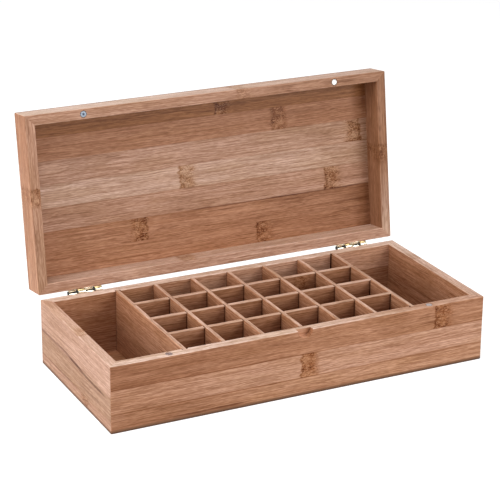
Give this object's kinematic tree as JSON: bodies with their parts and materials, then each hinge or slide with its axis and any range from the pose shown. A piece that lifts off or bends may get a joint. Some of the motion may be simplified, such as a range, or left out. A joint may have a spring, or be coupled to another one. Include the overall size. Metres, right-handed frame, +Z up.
{
  "type": "divided storage box",
  "caption": "Bamboo storage box with a hinged lid, a grid of small square cells, an open compartment at each end, closing magnets and a finger notch.",
  "frame": {"origin": "centre of the underside of the base", "axes": "+X along the box to the right, +Y to the back where the hinges are, +Z up"},
  "size_m": [0.35, 0.2059, 0.2161],
  "materials": {
    "wall_bamboo": "satin",
    "panel_bamboo": "satin",
    "tray_bamboo": "satin",
    "hinge": "polished",
    "pin": "satin",
    "washer": "matte",
    "magnet": "polished"
  },
  "bodies": {
    "base": {"bottom_panel": "panel_bamboo", "front_wall": "wall_bamboo", "back_wall": "wall_bamboo", "left_wall": "wall_bamboo", "right_wall": "wall_bamboo", "left_partition": "tray_bamboo", "right_partition": "tray_bamboo", "column_divider_1": "tray_bamboo", "column_divider_2": "tray_bamboo", "column_divider_3": "tray_bamboo", "column_divider_4": "tray_bamboo", "column_divider_5": "tray_bamboo", "row_divider_1": "tray_bamboo", "row_divider_2": "tray_bamboo", "row_divider_3": "tray_bamboo", "base_magnet_left": "magnet", "base_magnet_right": "magnet", "hinge_base_leaf_left": "hinge", "hinge_base_leaf_right": "hinge", "hinge_pin_left": "pin", "hinge_pin_right": "pin", "hinge_washers_left": "washer", "hinge_washers_right": "washer"},
    "lid": {"lid_panel": "panel_bamboo", "lid_front_wall": "wall_bamboo", "lid_back_wall": "wall_bamboo", "lid_left_wall": "wall_bamboo", "lid_right_wall": "wall_bamboo", "lid_magnet_left": "magnet", "lid_magnet_right": "magnet", "hinge_lid_leaf_left": "hinge", "hinge_lid_leaf_right": "hinge"}
  },
  "joints": [
    {"name": "lid_hinge", "type": "hinge", "parent": "base", "child": "lid", "pos_m": [0, 0.0806, 0.0591], "axis": [1, 0, 0], "range_deg": [0, 98]}
  ]
}
